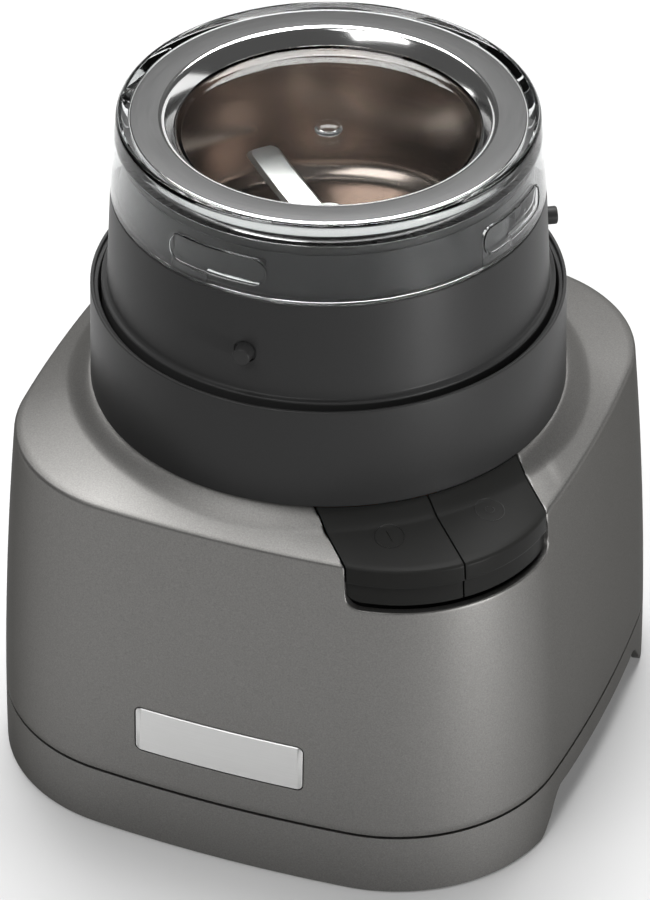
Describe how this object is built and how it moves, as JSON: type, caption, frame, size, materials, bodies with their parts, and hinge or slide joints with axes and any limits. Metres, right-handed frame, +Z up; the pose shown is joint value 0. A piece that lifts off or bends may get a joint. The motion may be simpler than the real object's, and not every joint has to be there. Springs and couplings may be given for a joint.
{
  "type": "electric food chopper",
  "caption": "Grinding mill with a clear twist-off lid and a steel bowl and blade, on a rounded square motor base with keys on one corner.",
  "frame": {"origin": "on the mill's axis, at the floor under the rubber feet", "axes": "+Z up along the mill's axis, front with the nameplate towards -Y, keys on the corner towards +X and -Y"},
  "size_m": [0.16, 0.1602, 0.1875],
  "materials": {
    "silver_paint": "metallic grey paint on moulded plastic",
    "black_plastic": "moulded, satin",
    "key_plastic": "moulded, satin",
    "clear_plastic": "clear, polished",
    "brushed_trim": "brushed around the axis",
    "badge_aluminium": "brushed, bare",
    "stainless": "polished",
    "screw_steel": "zinc plated",
    "rubber": "moulded, matt",
    "silicone": "translucent grey",
    "laminations": "stamped sheet stack",
    "copper": "enamelled copper",
    "brass": "turned",
    "die_cast": "die cast",
    "carbon": "pressed carbon",
    "board": "laminate",
    "nylon": "moulded",
    "red_plastic": "moulded"
  },
  "bodies": {
    "base": {"base_tray": "silver_paint", "rubber_feet": "rubber", "tray_screws": "screw_steel", "upper_housing": "silver_paint", "nameplate": "badge_aluminium", "collar": "black_plastic", "collar_screws": "screw_steel", "button_bracket": "black_plastic", "bracket_screws": "screw_steel", "button_pin": "screw_steel", "on_button_spring": "screw_steel", "pulse_button_spring": "screw_steel", "switch_board": "board", "micro_switches": "black_plastic", "cord_inlet": "black_plastic", "stator_core": "laminations", "field_coils": "copper", "motor_top_bracket": "die_cast", "motor_bottom_bracket": "die_cast", "upper_bearing": "screw_steel", "lower_bearing": "screw_steel", "motor_screws": "screw_steel", "motor_mounts": "rubber", "mount_screws": "screw_steel", "brush_holders": "brass", "carbon_brushes": "carbon", "brush_springs": "screw_steel", "brush_caps": "black_plastic", "drive_seal": "rubber"},
    "on_key": {"on_button": "key_plastic"},
    "pulse_key": {"pulse_button": "key_plastic"},
    "on_plunger": {"on_switch_plunger": "red_plastic"},
    "pulse_plunger": {"pulse_switch_plunger": "red_plastic"},
    "rotor": {"motor_shaft": "screw_steel", "rotor_core": "laminations", "rotor_windings": "copper", "commutator": "copper", "cooling_fan": "black_plastic", "drive_dog": "nylon"},
    "mill": {"mill_body": "black_plastic", "mill_base": "black_plastic", "mill_screws": "screw_steel", "mill_bowl": "stainless", "blade_bush": "brass", "bowl_seal": "rubber"},
    "cutter": {"blade_shaft": "stainless", "blade": "stainless", "blade_nut": "stainless", "driven_dog": "nylon"},
    "lid_gasket": {"lid_seal": "silicone"},
    "lid": {"lid_shell": "clear_plastic", "lid_trim_ring": "brushed_trim"}
  },
  "joints": [
    {"name": "on_press", "type": "hinge", "parent": "base", "child": "on_key", "pos_m": [0.04809, -0.04809, 0.0967], "axis": [0.7071, 0.7071, 0], "range_deg": [0, 3.5], "stiffness_Nm_per_rad": 1, "springref_deg": -5.73, "deforming": ["on_button_spring"]},
    {"name": "pulse_press", "type": "hinge", "parent": "base", "child": "pulse_key", "pos_m": [0.04809, -0.04809, 0.0967], "axis": [0.7071, 0.7071, 0], "range_deg": [0, 3.5], "stiffness_Nm_per_rad": 1, "springref_deg": -5.73, "deforming": ["pulse_button_spring"]},
    {"name": "on_plunger_slide", "type": "slide", "parent": "base", "child": "on_plunger", "axis": [0, 0, -1], "range_m": [0, 0.0005]},
    {"name": "pulse_plunger_slide", "type": "slide", "parent": "base", "child": "pulse_plunger", "axis": [0, 0, -1], "range_m": [0, 0.0005]},
    {"name": "rotor_spin", "type": "hinge", "parent": "base", "child": "rotor", "pos_m": [0, 0, 0.06], "axis": [0, 0, 1], "continuous": true},
    {"name": "mill_lift", "type": "slide", "parent": "base", "child": "mill", "axis": [0, 0, 1], "range_m": [0, 0.06]},
    {"name": "blade_spin", "type": "hinge", "parent": "mill", "child": "cutter", "pos_m": [0, 0, 0.14], "axis": [0, 0, 1], "continuous": true},
    {"name": "lid_lift", "type": "slide", "parent": "mill", "child": "lid_gasket", "axis": [0, 0, 1], "range_m": [0, 0.04]},
    {"name": "lid_turn", "type": "hinge", "parent": "lid_gasket", "child": "lid", "pos_m": [0, 0, 0.17], "axis": [0, 0, 1], "range_deg": [0, 17]}
  ],
  "couplings": [
    {"joint": "on_plunger_slide", "follows": "on_press", "m_per_rad": 0.006},
    {"joint": "pulse_plunger_slide", "follows": "pulse_press", "m_per_rad": 0.006},
    {"joint": "blade_spin", "follows": "rotor_spin", "ratio": 1}
  ]
}
